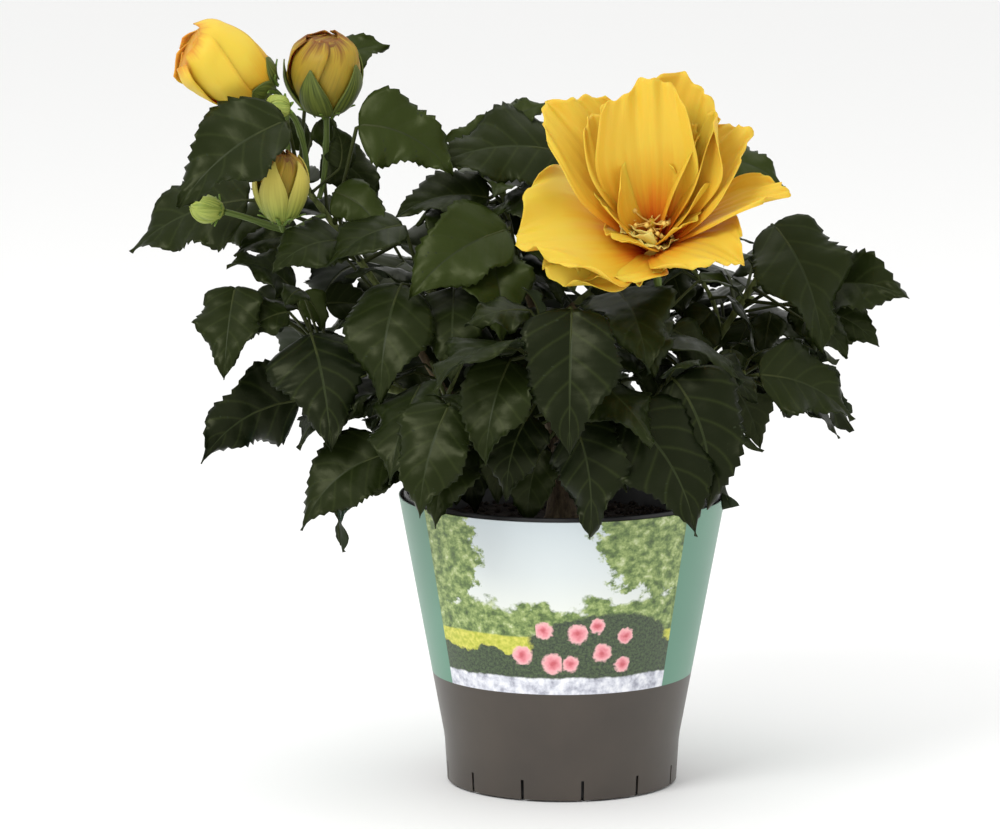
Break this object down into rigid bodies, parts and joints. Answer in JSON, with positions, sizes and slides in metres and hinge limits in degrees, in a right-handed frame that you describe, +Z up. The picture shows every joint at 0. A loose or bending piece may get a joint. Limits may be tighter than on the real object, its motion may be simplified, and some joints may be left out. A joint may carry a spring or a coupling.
{
  "type": "potted hibiscus shrub",
  "caption": "Potted hibiscus shrub with dark toothed leaves, a yellow double flower and buds, in a black plastic pot with a flared printed card sleeve.",
  "frame": {"origin": "middle of the pot's flat underside", "axes": "+Z up; the open flower faces -Y; +X is to the right of someone who looks at the flower"},
  "size_m": [0.3207, 0.2588, 0.3175],
  "materials": {
    "pot_plastic": "satin black",
    "sleeve_card": "satin print, green above a taupe band",
    "soil": "crumbly peat",
    "bark": "fine grey-brown bark",
    "foliage": "glossy leaf",
    "petals": "soft petal",
    "bud": "soft petal in green sepals"
  },
  "bodies": {
    "root": {"pot": "pot_plastic", "sleeve": "sleeve_card", "soil": "soil", "trunk": "bark", "bough_left": "bark", "bough_right": "bark", "bough_front": "bark", "bough_middle": "bark", "bough_back": "bark", "leaves_left_top": "foliage", "leaves_left_mid": "foliage", "leaves_left_low": "foliage", "leaves_front_low": "foliage", "leaves_front_right": "foliage", "leaves_flower": "foliage", "leaves_right_top": "foliage", "leaves_right_low": "foliage", "leaves_right_back": "foliage", "leaves_middle_top": "foliage", "leaves_middle_right": "foliage", "leaves_middle_left": "foliage", "leaves_back_left": "foliage", "leaves_back_right": "foliage", "leaves_back_low": "foliage", "flower_open": "petals", "bud_opening": "bud", "bud_upright": "bud", "bud_striped": "bud", "bud_green_low": "bud", "bud_green_high": "bud"}
  },
  "joints": []
}
